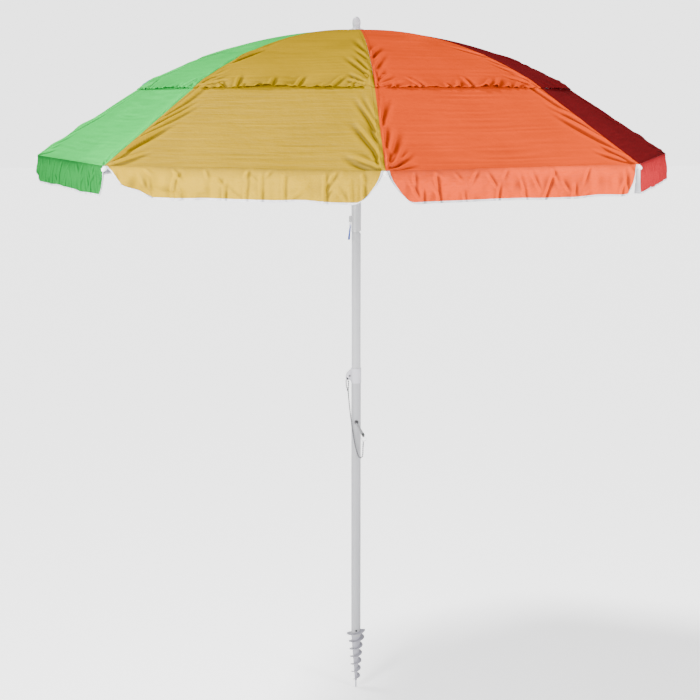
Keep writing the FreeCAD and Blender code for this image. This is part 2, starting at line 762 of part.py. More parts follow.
screw_at = V(0, -LOWER_OUT, size("screw_height"))
screw_head = Part.makeSphere(4.2, screw_at + V(0, 2.6, 0)).common(
    Part.makeBox(12, 3, 12, screw_at + V(-6, -3, -6))
)
screw_shank = Part.makeCylinder(1.25, 9, screw_at + V(0, 9, 0), V(0, -1, 0))
screw_head = screw_head.cut(Part.makeCylinder(LOWER_OUT, 30, screw_at + V(0, LOWER_OUT, -15)))
feature("auger_screw", screw_head.fuse(screw_shank).removeSplitter())

# ---- locking pin --------------------------------------------------------------------------
PIN = V(0, 0, size("pin_height"))
HANDLE_WAY = V(0.47, 0, -0.883)
PIN_REACH = -size("mid_od") / 2 - 0.35
BAR_Y = -26.0
pin_end = PIN + V(0, BAR_Y, 0) + HANDLE_WAY * 39
pin_route = [PIN + V(0, PIN_REACH, 0), PIN + V(0, BAR_Y, 0), pin_end]
pin_bar, _, _ = tube_along(pin_route, size("pin_d"), 5.0)
feature("locking_pin", pin_bar)
cap_start = pin_end - HANDLE_WAY * 7
cap_body = cylinder(4.3, cap_start, pin_end + HANDLE_WAY * 1.5)
cap_eye = Part.makeBox(2.4, 4.4, 6.0, pin_end + V(-0.2, -2.2, -5.6))
cap = cap_body.fuse(cap_eye).removeSplitter().cut(pin_bar)
RING_TOP = pin_end + V(1.0, 0, -3.4)
cap = cap.cut(Part.makeCylinder(1.1, 8, RING_TOP - V(4, 0, 0), V(1, 0, 0)))
feature("pin_cap", cap)

# ---- ball chain ---------------------------------------------------------------------------
RING_R = 6.6
ring_centre = RING_TOP + V(0, 0, -RING_R)
pin_ring = Part.makeTorus(RING_R, 0.8, ring_centre, V(0, 1, 0))
feature("pin_ring", pin_ring)

CHAIN_ROUTE = [
    V(-22.6, -4.0, 883.0),
    V(-20.8, -6.5, 857.0),
    V(-18.2, -9.8, 829.0),
    V(-14.8, -13.2, 798.0),
    V(-10.8, -16.2, 768.0),
    V(-6.0, -18.8, 739.0),
    V(-1.2, -20.8, 717.0),
    V(3.4, -22.0, 702.0),
    V(7.6, -23.0, 693.2),
    V(15.6, -24.8, 694.4),
    V(17.4, -25.5, 707.5),
    V(17.1, -25.9, 722.5),
    V(18.3, -26.0, 737.0),
]
chain, chain_length, chain_radii = tube_along(CHAIN_ROUTE, size("chain_d"))
area = math.pi * size("chain_d") ** 2 / 4
print("chain length", chain_length, "volume ratio", chain.Volume / (area * chain_length))
print("chain radii", [round(r, 1) for r in chain_radii])
feature("ball_chain", chain)

# the chain's own end loop through the lug, closed by its clasp
loop_route = [
    V(-21.9, -5.4, 889.6),
    V(-20.7, -8.2, 902.5),
    V(-24.4, -7.6, 915.4),
    V(-24.7, 7.2, 915.4),
    V(-28.4, 6.2, 902.5),
    V(-26.0, -1.6, 889.8),
]
loop, loop_length, loop_radii = tube_along(loop_route, size("chain_d"))
print("loop length", loop_length, "radii", [round(r, 1) for r in loop_radii])
clasp = Part.makeCylinder(2.9, 6.0, V(-23.4, -4.2, 883.2))
feature("chain_loop", Part.makeCompound([loop, clasp.cut(loop)]))

doc.recompute()
for obj in doc.Objects:
    if "Invalid" in obj.State or "Error" in obj.State:
        raise RuntimeError(f"{obj.Label} did not recompute: {obj.State}")
for obj in nodes:
    shape = obj.Shape
    if shape.isNull() or not shape.isValid() or not shape.Solids:
        raise RuntimeError(f"{obj.Label} has no valid solid")
    shape.exportStep(f"parts/{obj.Label}.step")
box = FreeCAD.BoundBox()
for obj in nodes:
    box.add(obj.Shape.BoundBox)
print(len(nodes), "nodes", box)
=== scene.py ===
import math

import bmesh
import bpy
import numpy as np
from mathutils import Matrix, Vector


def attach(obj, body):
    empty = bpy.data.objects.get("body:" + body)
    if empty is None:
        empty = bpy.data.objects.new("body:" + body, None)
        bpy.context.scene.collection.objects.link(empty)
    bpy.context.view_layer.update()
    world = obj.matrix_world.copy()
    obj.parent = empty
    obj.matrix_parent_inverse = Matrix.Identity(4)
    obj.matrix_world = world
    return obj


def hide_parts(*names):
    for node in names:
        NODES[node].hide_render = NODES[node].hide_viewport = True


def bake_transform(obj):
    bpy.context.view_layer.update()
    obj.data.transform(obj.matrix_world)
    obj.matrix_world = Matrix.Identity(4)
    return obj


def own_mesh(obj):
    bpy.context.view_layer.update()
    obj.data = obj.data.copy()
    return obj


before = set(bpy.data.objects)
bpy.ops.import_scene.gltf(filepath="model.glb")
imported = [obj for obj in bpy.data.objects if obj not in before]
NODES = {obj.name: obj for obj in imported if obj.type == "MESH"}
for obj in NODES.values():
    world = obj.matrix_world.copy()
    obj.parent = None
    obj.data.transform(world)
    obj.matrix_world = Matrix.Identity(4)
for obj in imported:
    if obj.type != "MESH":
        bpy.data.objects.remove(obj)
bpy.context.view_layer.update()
scene = bpy.context.scene

# ---- sizes, in metres, as in the CAD ------------------------------------------------------
R = 0.840
RIM = 1.5257
APEX = 1.8456
ROOF = 1.174
BEND = 0.550
CAP_EDGE = 0.575
PANEL_TOP = 0.521
CAP_LIFT = 0.0018
VALANCE = 0.071
NOTCH = 0.046
BINDING = 0.0048
TAPE = BINDING / VALANCE
HALF_GORE = math.radians(22.5)
ROOF_CENTRE = APEX - ROOF
BEND_Z = ROOF_CENTRE + math.sqrt(ROOF**2 - BEND**2)
SLOPE = (BEND_Z - RIM) / (R - BEND)
FABRIC = 0.0006
HALF_HEM = R * math.sin(HALF_GORE)
# metres along the lower roof for each metre out
LOWER_STRETCH = 1.211
# flat cloth coordinates: metres across from the gore's middle, and metres along it
CLOTH_STRETCH = 1.15
CLOTH_HEM = R * math.cos(HALF_GORE) * CLOTH_STRETCH
CLOTH_CAP_HEM = CAP_EDGE * math.cos(HALF_GORE) * CLOTH_STRETCH
RIB_LEAN = math.tan(HALF_GORE) / CLOTH_STRETCH

# ---- camera -------------------------------------------------------------------------------
AROUND = math.radians(4.05)
DISTANCE = 3.451
camera_data = bpy.data.cameras.new("camera")
camera_data.lens = 65.84
camera_data.sensor_width = 36
camera = bpy.data.objects.new("camera", camera_data)
scene.collection.objects.link(camera)
camera.location = (-math.sin(AROUND) * DISTANCE, -math.cos(AROUND) * DISTANCE, 1.6635)
camera.rotation_euler = (math.radians(90 - 10.99), 0, -AROUND + math.radians(0.28))
scene.camera = camera


# ---- small helpers ------------------------------------------------------------------------
def link(obj):
    scene.collection.objects.link(obj)
    return obj


def mesh_object(name, points, faces, smooth=True):
    mesh = bpy.data.meshes.new(name)
    mesh.from_pydata([tuple(p) for p in points], [], faces)
    mesh.validate()
    if smooth:
        mesh.polygons.foreach_set("use_smooth", [True] * len(mesh.polygons))
    mesh.update()
    return link(bpy.data.objects.new(name, mesh))


def unit(v):
    return v / np.linalg.norm(v, axis=-1, keepdims=True)


# ---- materials ----------------------------------------------------------------------------
class Nodes:
    """Builds one node tree with short calls."""

    def __init__(self, name):
        self.material = bpy.data.materials.new(name)
        self.material.use_nodes = True
        self.tree = self.material.node_tree
        self.tree.nodes.clear()
        self.output = self.tree.nodes.new("ShaderNodeOutputMaterial")

    def add(self, kind, settings=None, **inputs):
        made = self.tree.nodes.new(kind)
        for key, value in (settings or {}).items():
            setattr(made, key, value)
        for key, value in inputs.items():
            self.set(made, key.replace("_", " "), value)
        return made

    def set(self, made, socket, value):
        target = made.inputs[int(socket) if socket.isdigit() else socket]
        if isinstance(value, bpy.types.NodeSocket):
            self.tree.links.new(value, target)
        else:
            target.default_value = value

    def math(self, operation, a, b=0.0, c=0.0):
        made = self.tree.nodes.new("ShaderNodeMath")
        made.operation = operation
        for i, value in enumerate((a, b, c)):
            self.set(made, str(i), value)
        return made.outputs[0]

    def mix(self, share, a, b):
        made = self.tree.nodes.new("ShaderNodeMix")
        made.data_type = "RGBA"
        self.set(made, "0", share)
        self.set(made, "6", a)
        self.set(made, "7", b)
        return made.outputs[2]

    def spread(self, value, low, high, to_low, to_high):
        made = self.tree.nodes.new("ShaderNodeMapRange")
        for i, given in enumerate((value, low, high, to_low, to_high)):
            self.set(made, str(i), given)
        return made.outputs[0]

    def noise(self, at, scale, detail=3.0, roughness=0.55):
        made = self.add("ShaderNodeTexNoise", Vector=at, Scale=scale, Detail=detail)
        made.inputs["Roughness"].default_value = roughness
        return made.outputs["Fac"]

    def bump(self, height, distance, strength=1.0, under=None):
        made = self.add("ShaderNodeBump", Height=height, Distance=distance, Strength=strength)
        if under is not None:
            self.set(made, "Normal", under)
        return made.outputs["Normal"]


def woven_height(n, across, along, pitch):
    """Plain weave: over and under threads at the given pitch in metres."""
    warp = n.math("SINE", n.math("MULTIPLY", across, math.pi / pitch))
    weft = n.math("SINE", n.math("MULTIPLY", along, math.pi / pitch))
    return n.math("MULTIPLY", warp, weft)


def stitch_line(n, distance, along, place):
    """One row of 3 mm stitches at a given distance from a seam, from 0 to 1."""
    off = n.math("ABSOLUTE", n.math("SUBTRACT", distance, place))
    row = n.spread(off, 0.0003, 0.0009, 1.0, 0.0)
    turns = n.math("MULTIPLY", along, math.tau / 0.0042)
    dash = n.math("GREATER_THAN", n.math("SINE", turns), -0.35)
    return n.math("MULTIPLY", row, dash)


def fabric_material(name, colour, shine=0.006, glow=0.22, seams=True, valance_painted_light=1.0):
    """Coated polyester: plain weave, slubs, small creases, sewn seams, light passing through, painted shade
    in the creases, and the valance painted lighter than its gore, darker for green.
    """
    n = Nodes(name)
    uv = n.add("ShaderNodeUVMap", {"uv_map": "cloth"}).outputs[0]
    parts = n.add("ShaderNodeSeparateXYZ", Vector=uv)
    across, along = n.math("ABSOLUTE", parts.outputs[0]), parts.outputs[1]
    weave = woven_height(n, parts.outputs[0], along, 0.0008)
    slubs = n.noise(n.add("ShaderNodeMapping", Vector=uv, Scale=(40.0, 900.0, 1.0)).outputs[0], 1.0, 2.0)
    ripple = n.noise(n.add("ShaderNodeMapping", Vector=uv, Scale=(9.0, 110.0, 1.0)).outputs[0], 1.0, 2.5)
    crumple = n.noise(uv, 42.0, 4.0, 0.6)
    cloud = n.noise(uv, 5.0, 3.0, 0.6)
    hanging = n.math("GREATER_THAN", along, CLOTH_HEM + 0.002)
    height = n.math("MULTIPLY", ripple, 0.0016)
    height = n.math("MULTIPLY_ADD", crumple, n.math("MULTIPLY_ADD", hanging, 0.0022, 0.0018), height)
    height = n.math("MULTIPLY_ADD", slubs, 0.00006, height)
    height = n.math("MULTIPLY_ADD", weave, 0.00003, height)
    shade = n.math("MULTIPLY", n.spread(cloud, 0.3, 0.7, 0.93, 1.05), n.spread(weave, -1.0, 1.0, 0.95, 1.02))
    shade = n.math("MULTIPLY", shade, n.spread(slubs, 0.35, 0.65, 0.97, 1.02))
    # painted shade: the cloth is darker down in its creases and a touch lighter on their ridges
    depth = n.add("ShaderNodeAttribute", {"attribute_name": "fold"}).outputs["Fac"]
    shade = n.math("MULTIPLY", shade, n.spread(depth, -0.2, 1.0, 1.05, 0.42))
    # painted light and shade: the hanging valance is made lighter, or darker below 1, than the gore above it
    shade = n.math("MULTIPLY", shade, n.math("MULTIPLY_ADD", hanging, valance_painted_light - 1.0, 1.0))
    if seams:
        from_rib = n.math("DIVIDE", n.math("MULTIPLY_ADD", along, RIB_LEAN, n.math("MULTIPLY", across, -1.0)),
                          math.hypot(1, RIB_LEAN))
        on_roof = n.math("LESS_THAN", along, CLOTH_HEM + 0.001)
        fold = n.math("MULTIPLY", n.spread(from_rib, 0.0075, 0.0095, 1.0, 0.0), on_roof)
        from_hem = n.math("SUBTRACT", CLOTH_HEM, along)
        from_cap_hem = n.math("SUBTRACT", CLOTH_CAP_HEM, along)
        sewn = n.math("MULTIPLY", stitch_line(n, from_rib, along, 0.0065), on_roof)
        for distance in (from_hem, from_cap_hem):
            sewn = n.math("MAXIMUM", sewn, stitch_line(n, distance, across, 0.0080))
        height = n.math("MULTIPLY_ADD", fold, 0.0005, height)
        height = n.math("MULTIPLY_ADD", sewn, -0.0003, height)
        shade = n.math("MULTIPLY", shade, n.spread(fold, 0.0, 1.0, 1.0, 0.95))
        shade = n.math("MULTIPLY", shade, n.spread(sewn, 0.0, 1.0, 1.0, 0.72))
    base = n.add("ShaderNodeMixRGB", {"blend_type": "MULTIPLY"}, Fac=1.0, Color1=colour)
    n.set(base, "Color2", shade)
    normal = n.bump(height, 1.0)
    body = n.add("ShaderNodeBsdfPrincipled", Normal=normal, Roughness=n.spread(crumple, 0.3, 0.7, 0.5, 0.62))
    n.set(body, "Base Color", base.outputs[0])
    body.inputs["Specular IOR Level"].default_value = 0.0
    coat = n.add("ShaderNodeBsdfGlossy", Roughness=0.42, Normal=normal)
    skin = n.add("ShaderNodeMixShader", Fac=shine)
    n.set(skin, "1", body.outputs[0])
    n.set(skin, "2", coat.outputs[0])
    through = n.add("ShaderNodeBsdfTranslucent", Color=base.outputs[0], Normal=normal)
    blend = n.add("ShaderNodeMixShader", Fac=glow)
    n.set(blend, "1", skin.outputs[0])
    n.set(blend, "2", through.outputs[0])
    n.set(n.output, "Surface", blend.outputs[0])
    return n.material


def coated_metal(name, colour, rough, gloss=0.3):
    """Powder coat: orange peel, faint rub marks along the tube, a little grime."""
    n = Nodes(name)
    at = n.add("ShaderNodeTexCoord").outputs["Object"]
    peel = n.noise(at, 1300.0, 2.0)
    cloud = n.noise(at, 9.0, 4.0)
    long = n.add("ShaderNodeMapping", Vector=at, Scale=(420.0, 420.0, 6.0)).outputs[0]
    rubbed = n.spread(n.noise(long, 1.0, 3.0, 0.6), 0.60, 0.72, 0.0, 1.0)
    speck = n.spread(n.noise(at, 260.0, 2.0), 0.70, 0.76, 0.0, 1.0)
    clean = n.mix(n.spread(cloud, 0.35, 0.65, 0.0, 0.35), colour, tuple(c * 0.90 for c in colour[:3]) + (1,))
    marked = n.mix(n.math("MULTIPLY", rubbed, 0.30), clean, tuple(c * 0.78 for c in colour[:3]) + (1,))
    base = n.mix(n.math("MULTIPLY", speck, 0.5), marked, (0.20, 0.19, 0.18, 1))
    height = n.math("MULTIPLY", peel, 0.00006)
    height = n.math("MULTIPLY_ADD", rubbed, -0.00001, height)
    body = n.add("ShaderNodeBsdfPrincipled", Normal=n.bump(height, 1.0))
    n.set(body, "Base Color", base)
    n.set(body, "Roughness", n.spread(n.math("ADD", cloud, rubbed), 0.3, 1.4, rough, rough + 0.16))
    body.inputs["Specular IOR Level"].default_value = gloss
    n.set(n.output, "Surface", body.outputs[0])
    return n.material


def moulded_plastic(name, colour, rough=0.34):
    """Moulded part: fine grain, soft flow marks, grime in patches."""
    n = Nodes(name)
    at = n.add("ShaderNodeTexCoord").outputs["Object"]
    grain = n.noise(at, 2600.0, 2.0)
    flow = n.noise(n.add("ShaderNodeMapping", Vector=at, Scale=(60.0, 60.0, 18.0)).outputs[0], 1.0, 3.0)
    grime = n.spread(n.noise(at, 35.0, 5.0, 0.65), 0.52, 0.74, 0.0, 1.0)
    streaked = n.mix(n.spread(flow, 0.3, 0.7, 0.0, 0.5), colour, tuple(c * 0.91 for c in colour[:3]) + (1,))
    base = n.mix(n.math("MULTIPLY", grime, 0.22), streaked, tuple(c * 0.62 for c in colour[:3]) + (1,))
    height = n.math("MULTIPLY", grain, 0.00003)
    height = n.math("MULTIPLY_ADD", flow, 0.00022, height)
    body = n.add("ShaderNodeBsdfPrincipled", Normal=n.bump(height, 1.0))
    n.set(body, "Base Color", base)
    n.set(body, "Roughness", n.spread(n.math("ADD", flow, grime), 0.4, 1.6, rough, rough + 0.2))
    n.set(n.output, "Surface", body.outputs[0])
    return n.material


def plated_steel(name, colour=(0.56, 0.56, 0.58, 1), rough=0.24):
    """Zinc plated steel: cloudy plating, drawing lines, dull spots."""
    n = Nodes(name)
    at = n.add("ShaderNodeTexCoord").outputs["Object"]
    cloud = n.noise(at, 160.0, 4.0)
    lines = n.noise(n.add("ShaderNodeMapping", Vector=at, Scale=(2200.0, 2200.0, 90.0)).outputs[0], 1.0, 2.0)
    dull = n.spread(n.noise(at, 420.0, 3.0), 0.56, 0.70, 0.0, 1.0)
    base = n.mix(n.math("MULTIPLY", dull, 0.6), colour, (0.30, 0.29, 0.28, 1))
    height = n.math("MULTIPLY_ADD", lines, 0.000012, n.math("MULTIPLY", cloud, 0.00003))
    body = n.add("ShaderNodeBsdfPrincipled", Metallic=1.0, Normal=n.bump(height, 1.0))
    n.set(body, "Base Color", base)
    n.set(body, "Roughness", n.spread(n.math("ADD", cloud, dull), 0.3, 1.5, rough, rough + 0.28))
    n.set(n.output, "Surface", body.outputs[0])
    return n.material


def dipped_vinyl(name, colour, rough):
    """Soft dipped coating or rubber, scuffed."""
    n = Nodes(name)
    at = n.add("ShaderNodeTexCoord").outputs["Object"]
    wave = n.noise(at, 240.0, 3.0)
    scuff = n.spread(n.noise(at, 900.0, 4.0, 0.7), 0.55, 0.70, 0.0, 1.0)
    base = n.mix(n.math("MULTIPLY", scuff, 0.3), colour, tuple(c + 0.06 for c in colour[:3]) + (1,))
    body = n.add("ShaderNodeBsdfPrincipled", Normal=n.bump(n.math("MULTIPLY", wave, 0.0002), 1.0))
    n.set(body, "Base Color", base)
    n.set(body, "Roughness", n.spread(scuff, 0.0, 1.0, rough, rough + 0.2))
    n.set(n.output, "Surface", body.outputs[0])
    return n.material


def wear(material, *names):
    """Gives a finish to parts that come over from the CAD."""
    for name in names:
        mesh = NODES[name].data
        mesh.materials.clear()
        mesh.materials.append(material)


# what each gore reflects, as linear light
COLOURS = {
    1: ("orange", (0.58, 0.048, 0.001, 1)),
    2: ("dark_red", (0.100, 0.0040, 0.0055, 1)),
    3: ("purple", (0.12, 0.02, 0.17, 1)),
    4: ("indigo", (0.025, 0.03, 0.22, 1)),
    5: ("blue", (0.01, 0.12, 0.42, 1)),
    6: ("turquoise", (0.01, 0.30, 0.28, 1)),
    7: ("green", (0.016, 0.44, 0.066, 1)),
    8: ("yellow", (0.325, 0.198, 0.0, 1)),
}
# painted light and shade: how much lighter, or darker below 1, the single layer of the valance is painted
# than the gore above it, for the way it is lit
VALANCE_PAINTED_LIGHT = {1: 1.3, 2: 3.8, 7: 0.42, 8: 1.3}
cloth = {}
for gore, (name, colour) in COLOURS.items():
    cloth[gore] = fabric_material("fabric_" + name, colour, valance_painted_light=VALANCE_PAINTED_LIGHT.get(gore, 1.2))
lining = fabric_material("lining_silver", (0.34, 0.33, 0.38, 1), 0.08, 0.22, False)
binding = fabric_material("binding_white", (0.62, 0.62, 0.66, 1), 0.03, 0.1, False)

RIBS = range(1, 9)
white_tube = coated_metal("white_tube", (0.33, 0.33, 0.34, 1), 0.34, 0.5)
lower_white = coated_metal("lower_white", (0.28, 0.28, 0.293, 1), 0.42, 0.4)
gloss_tube = coated_metal("upper_tube", (0.33, 0.33, 0.335, 1), 0.12, 1.0)
rib_paint = coated_metal("rib_paint", (0.72, 0.72, 0.73, 1), 0.32)
white_plastic = moulded_plastic("white_plastic", (0.40, 0.39, 0.425, 1))
grey_plastic = moulded_plastic("auger_plastic", (0.25, 0.245, 0.28, 1), 0.42)
steel = plated_steel("zinc_plate")
# painted shade: the chain's plated steel is made almost black, to copy how dark its small shaded balls look
chain_steel = plated_steel("chain_steel", (0.055, 0.055, 0.06, 1), 0.30)
pin_steel = plated_steel("pin_steel", (0.16, 0.16, 0.165, 1), 0.28)
dark_steel = plated_steel("dark_steel", (0.05, 0.05, 0.052, 1), 0.34)
wear(white_tube, "mid_tube")
wear(lower_white, "lower_tube")
wear(gloss_tube, "upper_tube", "lever_bracket")
wear(rib_paint, *[f"{kind}_{k}" for k in RIBS for kind in ("rib", "stretcher")])
wear(white_plastic, "collar", "finial", "crown_hub", "runner", "mid_tube_foot", "tilt_clevis", "tilt_tongue")
wear(grey_plastic, "auger_core", "auger_blade")
wear(steel, "crown_ring", "runner_ring", "tilt_pin", "pin_ring", "catch_spring")
wear(pin_steel, "locking_pin", "tilt_lever")
wear(dark_steel, "collar_rivet", "auger_screw", "pin_grommet")
wear(dipped_vinyl("blue_grip", (0.006, 0.035, 0.26, 1), 0.38), "lever_grip")
wear(dipped_vinyl("black_cap", (0.012, 0.012, 0.013, 1), 0.62), "pin_cap")


# ---- canopy -------------------------------------------------------------------------------
def roof(rho):
    inside = ROOF_CENTRE + np.sqrt(ROOF**2 - np.minimum(rho, BEND) ** 2)
    return np.where(rho <= BEND, inside, BEND_Z - (rho - BEND) * SLOPE)


def roof_fall(rho):
    """How steeply the roof falls along a gore's middle."""
    inside = np.minimum(rho, BEND) / np.sqrt(ROOF**2 - np.minimum(rho, BEND) ** 2)
    return np.where(rho <= BEND, inside, SLOPE) / math.cos(HALF_GORE)


def field(x, y, seed):
    """Smooth noise from -1 to 1, one hill or hollow for each unit of x and y."""
    lattice = np.random.default_rng(seed).uniform(-1, 1, (64, 64))
    i, j = np.floor(x).astype(int), np.floor(y).astype(int)
    fx, fy = x - i, y - j
    fx, fy = fx * fx * (3 - 2 * fx), fy * fy * (3 - 2 * fy)
    low = lattice[i % 64, j % 64] * (1 - fx) + lattice[(i + 1) % 64, j % 64] * fx
    high = lattice[i % 64, (j + 1) % 64] * (1 - fx) + lattice[(i + 1) % 64, (j + 1) % 64] * fx
    return low * (1 - fy) + high * fy


def creased(x, y, seed):
    """Narrow ridges where the noise changes sign, from about -1 to 1."""
    return 1 - 2.4 * np.sqrt(field(x, y, seed) ** 2 + 0.006)


def fade(value, low, high):
    """A smooth step from 0 at low to 1 at high."""
    share = np.clip((value - low) / (high - low), 0, 1)
    return share * share * (3 - 2 * share)


def from_corner(rho, s, side, edge):
    """Metres from the corner of a hem at a rib: inwards along the rib, and away from the rib."""
    slope = rho * math.cos(HALF_GORE) * LOWER_STRETCH
    across = s * side * rho * math.sin(HALF_GORE)
    corner = (edge * math.cos(HALF_GORE) * LOWER_STRETCH, edge * math.sin(HALF_GORE))
    rib = np.array(corner) / math.hypot(*corner)
    back, over = corner[0] - slope, corner[1] - across
    return back * rib[0] + over * rib[1], over * rib[0] - back * rib[1]


def crease(x, y, turn, length, bow, width, height):
    """One crease from the origin: a ridge with a deeper valley beside it, dying out at its end."""
    far = np.hypot(x, y) + 1e-9
    off = (np.arctan2(y, x) - turn - bow * far) * far / (width * (1 + 5 * far))
    body = np.exp(-(off**2)) - 0.85 * np.exp(-(((off - 1.7) / 1.15) ** 2))
    ahead = np.cos(np.arctan2(y, x) - turn) > 0
    return height * body * ahead * fade(far, 0.0, 0.02) * (1 - fade(far, 0.4 * length, length))


def pulled_corner(a, b, seed, fans, sides, reach, height):
    """Creases where a rib pulls the cloth: a fan out of the corner, and long ones beside the rib."""
    rng = np.random.default_rng(seed)
    total = np.zeros_like(a)
    for i in range(fans):
        turn = math.radians(6 + 52 * (i + rng.uniform(0.2, 0.8)) / fans)
        start, bow = rng.uniform(-0.004, 0.012), rng.uniform(-2.0, 0.2)
        length = reach * rng.uniform(0.65, 1.35)
        tall = height * rng.uniform(0.65, 1.2)
        total += crease(a - start, b, turn, length, bow, rng.uniform(0.0032, 0.0050), tall)
    for i in range(sides):
        start = 0.012 + 0.20 * (i + rng.uniform(0, 1)) / sides
        turn, bow = math.radians(rng.uniform(8, 20)), rng.uniform(-0.9, 0.3)
        length = reach * rng.uniform(1.0, 2.2)
        tall = height * rng.uniform(0.5, 1.0)
        total += crease(a - start, b, turn, length, bow, rng.uniform(0.0032, 0.0048), tall)
    return total


# the gores' edges at the front rib, where the cloth is pulled hardest
FRONT = ((8, 1), (1, -1))


def panel_relief(rho, s, gore):
    """How far the main panel stands off its flat shape. s runs from -1 to 1 between ribs."""
    slope = rho * math.cos(HALF_GORE) * LOWER_STRETCH
    across = s * rho * math.sin(HALF_GORE)
    edge = np.maximum(1 - s**2, 0)
    total = -0.006 * edge * fade(rho, 0.5, 0.7)
    total += 0.0024 * field(across * 9, slope * 7, 40 + gore) * np.sqrt(edge)
    total += 0.00022 * creased(across * 6 + 7, slope * 80, 60 + gore) * edge
    total += 0.00022 * field(across * 9 + 7, slope * 120, 80 + gore) * edge
    for side in (-1, 1):
        a, b = from_corner(rho, s, side, R)
        fans, sides = (7, 4) if (gore, side) in FRONT else (3, 5)
        total += pulled_corner(a, b, 100 * gore + 10 * side, fans, sides, 0.105, 0.0040)
    held = fade(rho, PANEL_TOP - 0.01, PANEL_TOP + 0.07)
    pinned = np.clip((1 - np.abs(s)) * 30, 0, 1)
    return total * (0.15 + 0.85 * held) * pinned


# where the cap's hem gapes: place between the ribs, half width, height
CAP_LIFTS = {8: (-0.13, 0.13, 0.0065), 1: (0.35, 0.16, 0.004), 7: (0.3, 0.2, 0.004), 4: (0.1, 0.2, 0.006)}


def cap_relief(rho, s, gore):
    """The same for the vent cap, whose hem is gathered and lifts off the panel here and there."""
    slope = rho * math.cos(HALF_GORE) * CLOTH_STRETCH
    across = s * rho * math.sin(HALF_GORE)
    edge = np.sqrt(np.maximum(1 - s**2, 0))
    from_hem = CAP_EDGE - rho
    total = 0.0016 * field(across * 12, slope * 9, 300 + gore) * edge * np.clip(rho / 0.3, 0, 1)
    total += -0.003 * (1 - s**2) * np.sin(math.pi * np.clip(rho / CAP_EDGE, 0, 1))
    total += 0.0002 * field(across * 9, slope * 110, 320 + gore) * edge
    rng = np.random.default_rng(330 + gore)
    for i in range(15):
        at = CAP_EDGE * math.sin(HALF_GORE) * (2 * (i + rng.uniform(0, 1)) / 15 - 1)
        turn, length = rng.uniform(-0.9, 0.9), rng.uniform(0.018, 0.075)
        total += crease(from_hem + 0.012, across - at, turn, length, 0, 0.0042, 0.0034)
    ruffle = field(across * 46 + 9, from_hem * 5, 340 + gore)
    total += 0.0021 * (1 + ruffle) * np.exp(-from_hem / 0.014) * edge
    if gore in CAP_LIFTS:
        at, wide, height = CAP_LIFTS[gore]
        total += height * np.exp(-(((s - at) / wide) ** 2)) * np.exp(-from_hem / 0.03)
    for side in (-1, 1):
        a, b = from_corner(rho, s, side, CAP_EDGE)
        fans, sides = (6, 4) if (gore, side) in FRONT else (3, 3)
        total += pulled_corner(a, b, 400 + 10 * gore + side, fans, sides, 0.085, 0.0034)
    return total * np.clip((1 - np.abs(s)) * 30, 0, 1)


def rib_turn(k):
    """The direction of rib k, counter-clockwise from +X."""
    return math.radians(-90 + 45 * (k - 1))


def gore_frame(gore):
    """(direction along the gore's middle, direction across it, towards the next rib)."""
    turn = rib_turn(gore) + HALF_GORE
    return (
        np.array([math.cos(turn), math.sin(turn), 0.0]),
        np.array([-math.sin(turn), math.cos(turn), 0.0]),
    )


def roof_points(gore, rho, s, relief, lift):
    """Points of a gore's roof and their flat cloth coordinates."""
    along, across = gore_frame(gore)
    fall = roof_fall(rho)
    length = np.sqrt(1 + fall**2)
    u = rho * math.cos(HALF_GORE)
    v = s * rho * math.sin(HALF_GORE)
    stand = relief + lift
    base = u[..., None] * along + v[..., None] * across
    base[..., 2] = roof(rho)
    normal = (fall / length)[..., None] * along
    normal[..., 2] = 1 / length
    return base + stand[..., None] * normal, np.stack([v, u * CLOTH_STRETCH], -1)


# how far the valance is cut back from each rib; the cut isn't the same at every rib
CUT_BACK = {(1, 1): 0.031, (2, -1): 0.010, (7, 1): 0.026}
# the left end of the yellow valance hangs in two steps: share of the drop, metres from the rib
STEPPED = {
    (8, -1): ((0, 0.2, 0.45, 0.62, 0.72, 0.78, 1.0), (0.003, 0.018, 0.030, 0.040, 0.060, 0.084, 0.116)),
}
# the tape on the near end of the dark red valance curls in, away from the gore
CURLED = {(2, -1): 0.012}


def hanging_creases(v, drop, seed):
    """The valance's creases: upright ones that rise from the hem, and slanted branches."""
    rng = np.random.default_rng(seed)
    half = HALF_HEM
    total = np.zeros_like(v)
    for i in range(11):
        at = half * (2 * (i + rng.uniform(0, 1)) / 11 - 1)
        turn, length = rng.normal(0, 0.16), rng.uniform(0.05, 0.13)
        tall = rng.uniform(0.0008, 0.0030)
        total += crease(VALANCE + 0.015 - drop, v - at, turn, length, rng.uniform(-4, 4), 0.0032, tall)
        branch = rng.uniform(0.4, 1.1) * rng.choice([-1, 1])
        low = VALANCE - rng.uniform(-0.01, 0.045)
        total += crease(low - drop, v - at, branch, rng.uniform(0.03, 0.08), 0, 0.0032, 0.55 * tall)
    for i in range(7):
        at = half * (2 * (i + rng.uniform(0, 1)) / 7 - 1)
        turn, length = rng.uniform(-1.0, 1.0), rng.uniform(0.04, 0.09)
        total += crease(drop + 0.012, v - at, turn, length, 0, 0.0034, 0.0016)
    return total


